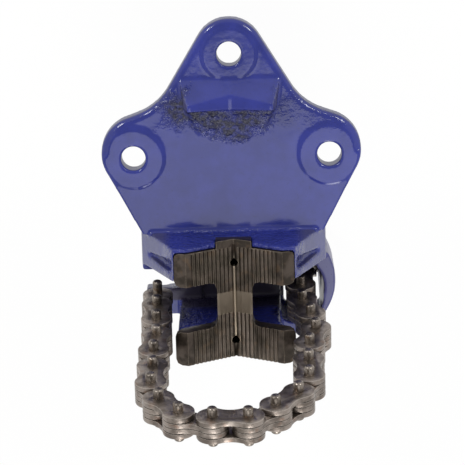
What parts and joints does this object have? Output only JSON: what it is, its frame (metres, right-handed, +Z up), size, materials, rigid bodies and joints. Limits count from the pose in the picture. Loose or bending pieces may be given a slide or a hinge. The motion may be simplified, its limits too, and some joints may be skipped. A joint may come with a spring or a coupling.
{
  "type": "bench chain pipe vise",
  "caption": "Bench-mounted chain pipe vise: bolt-down cast plate with a rear pipe rest, toothed V jaw block, leaf chain, and a draw screw turned by a T handle below.",
  "frame": {"origin": "on the bench face, midway between the two side bolt holes", "axes": "+Z up out of the bench, +Y towards the rear lug, +X to the screw side"},
  "size_m": [0.1484, 0.2078, 0.3137],
  "materials": {
    "blue_enamel": "gloss enamel over cast iron",
    "oiled_steel": "hardened, oiled black",
    "chain_steel": "bare, lightly oiled",
    "pin_steel": "ground",
    "bright_steel": "turned"
  },
  "bodies": {
    "base": {"base_casting": "blue_enamel", "jaw_block": "oiled_steel", "jaw_pins": "bright_steel", "thrust_washer": "bright_steel"},
    "draw_screw": {"draw_screw": "bright_steel", "swivel_pin": "bright_steel"},
    "swivel": {"swivel_link": "bright_steel"},
    "nut": {"handle_nut": "bright_steel"},
    "bar": {"handle_bar": "bright_steel", "bar_ball_near": "bright_steel", "bar_ball_far": "bright_steel"},
    "link_01": {"outer_plates_01": "chain_steel", "link_pins_01": "pin_steel"},
    "link_02": {"inner_plates_01": "chain_steel"},
    "link_03": {"outer_plates_02": "chain_steel", "link_pins_02": "pin_steel"},
    "link_04": {"inner_plates_02": "chain_steel"},
    "link_05": {"outer_plates_03": "chain_steel", "link_pins_03": "pin_steel"},
    "link_06": {"inner_plates_03": "chain_steel"},
    "link_07": {"outer_plates_04": "chain_steel", "link_pins_04": "pin_steel"},
    "link_08": {"inner_plates_04": "chain_steel"},
    "link_09": {"outer_plates_05": "chain_steel", "link_pins_05": "pin_steel"},
    "link_10": {"inner_plates_05": "chain_steel"},
    "link_11": {"outer_plates_06": "chain_steel", "link_pins_06": "pin_steel"},
    "link_12": {"inner_plates_06": "chain_steel"},
    "link_13": {"outer_plates_07": "chain_steel", "link_pins_07": "pin_steel"},
    "link_14": {"inner_plates_07": "chain_steel"},
    "link_15": {"outer_plates_08": "chain_steel", "link_pins_08": "pin_steel"},
    "link_16": {"inner_plates_08": "chain_steel"},
    "link_17": {"outer_plates_09": "chain_steel", "link_pins_09": "pin_steel"},
    "link_18": {"inner_plates_09": "chain_steel"},
    "link_19": {"outer_plates_10": "chain_steel", "link_pins_10": "pin_steel"},
    "link_20": {"inner_plates_10": "chain_steel", "end_pin": "pin_steel"}
  },
  "joints": [
    {"name": "nut_turn", "type": "hinge", "parent": "base", "child": "nut", "pos_m": [0.04, -0.0812, -0.13], "axis": [0, 0, 1], "range_deg": [-360, 720]},
    {"name": "screw_slide", "type": "slide", "parent": "base", "child": "draw_screw", "axis": [0, 0, 1], "range_m": [-0.00801, 0.00401]},
    {"name": "bar_slide", "type": "slide", "parent": "nut", "child": "bar", "axis": [-0.454, 0.891, 0], "range_m": [-0.064, 0]},
    {"name": "loop_sway", "type": "hinge", "parent": "draw_screw", "child": "swivel", "pos_m": [0.04, -0.0812, -0.05], "axis": [-1, 0, 0], "range_deg": [-4, 9]},
    {"name": "link_01_hinge", "type": "hinge", "parent": "swivel", "child": "link_01", "pos_m": [0.0386, -0.08494, -0.02984], "axis": [0, 0.9833, 0.1822], "range_deg": [-1.5, 3]},
    {"name": "link_02_hinge", "type": "hinge", "parent": "link_01", "child": "link_02", "pos_m": [0.03877, -0.08841, -0.01111], "axis": [0, -0.9833, -0.1822], "range_deg": [-4, 2]},
    {"name": "link_03_hinge", "type": "hinge", "parent": "link_02", "child": "link_03", "pos_m": [0.0389, -0.09188, 0.00762], "axis": [0, 0.9833, 0.1822], "range_deg": [-3, 5]},
    {"name": "link_04_hinge", "type": "hinge", "parent": "link_03", "child": "link_04", "pos_m": [0.04309, -0.09527, 0.02589], "axis": [0, -0.9833, -0.1822], "range_deg": [-60, 6]},
    {"name": "link_05_hinge", "type": "hinge", "parent": "link_04", "child": "link_05", "pos_m": [0.04538, -0.09871, 0.04449], "axis": [0, 0.9833, 0.1822], "range_deg": [-5, 60]},
    {"name": "link_06_hinge", "type": "hinge", "parent": "link_05", "child": "link_06", "pos_m": [0.04119, -0.1021, 0.06276], "axis": [0, -0.9833, -0.1822], "range_deg": [-60, 3]},
    {"name": "link_07_hinge", "type": "hinge", "parent": "link_06", "child": "link_07", "pos_m": [0.04009, -0.10556, 0.08146], "axis": [0, 0.9833, 0.1822], "range_deg": [-2, 60]},
    {"name": "link_08_hinge", "type": "hinge", "parent": "link_07", "child": "link_08", "pos_m": [0.03969, -0.10904, 0.10019], "axis": [0, -0.9833, -0.1822], "range_deg": [-60, 1.5]},
    {"name": "link_09_hinge", "type": "hinge", "parent": "link_08", "child": "link_09", "pos_m": [0.0334, -0.11231, 0.11786], "axis": [0, 0.9833, 0.1822], "range_deg": [-1.5, 60]},
    {"name": "link_10_hinge", "type": "hinge", "parent": "link_09", "child": "link_10", "pos_m": [0.02075, -0.11491, 0.13187], "axis": [0, -0.9833, -0.1822], "range_deg": [-60, 1]},
    {"name": "link_11_hinge", "type": "hinge", "parent": "link_10", "child": "link_11", "pos_m": [0.00605, -0.11712, 0.14378], "axis": [0, 0.9833, 0.1822], "range_deg": [-1, 60]},
    {"name": "link_12_hinge", "type": "hinge", "parent": "link_11", "child": "link_12", "pos_m": [-0.013, -0.11704, 0.14339], "axis": [0, -0.9833, -0.1822], "range_deg": [-60, 1]},
    {"name": "link_13_hinge", "type": "hinge", "parent": "link_12", "child": "link_13", "pos_m": [-0.03102, -0.11592, 0.13733], "axis": [0, 0.9833, 0.1822], "range_deg": [-1.5, 60]},
    {"name": "link_14_hinge", "type": "hinge", "parent": "link_13", "child": "link_14", "pos_m": [-0.04186, -0.11306, 0.12193], "axis": [0, -0.9833, -0.1822], "range_deg": [-60, 1.5]},
    {"name": "link_15_hinge", "type": "hinge", "parent": "link_14", "child": "link_15", "pos_m": [-0.04657, -0.1097, 0.10378], "axis": [0, 0.9833, 0.1822], "range_deg": [-2, 60]},
    {"name": "link_16_hinge", "type": "hinge", "parent": "link_15", "child": "link_16", "pos_m": [-0.04607, -0.10623, 0.08505], "axis": [0, -0.9833, -0.1822], "range_deg": [-60, 2]},
    {"name": "link_17_hinge", "type": "hinge", "parent": "link_16", "child": "link_17", "pos_m": [-0.04587, -0.10276, 0.06632], "axis": [0, 0.9833, 0.1822], "range_deg": [-3, 60]},
    {"name": "link_18_hinge", "type": "hinge", "parent": "link_17", "child": "link_18", "pos_m": [-0.04468, -0.09929, 0.04763], "axis": [0, -0.9833, -0.1822], "range_deg": [-60, 5]},
    {"name": "link_19_hinge", "type": "hinge", "parent": "link_18", "child": "link_19", "pos_m": [-0.04527, -0.09582, 0.0289], "axis": [0, 0.9833, 0.1822], "range_deg": [-10, 60]},
    {"name": "link_20_hinge", "type": "hinge", "parent": "link_19", "child": "link_20", "pos_m": [-0.04547, -0.09235, 0.01017], "axis": [0, -0.9833, -0.1822], "range_deg": [-60, 30]}
  ],
  "couplings": [
    {"joint": "screw_slide", "follows": "nut_turn", "m_per_rad": -0.00063662}
  ]
}
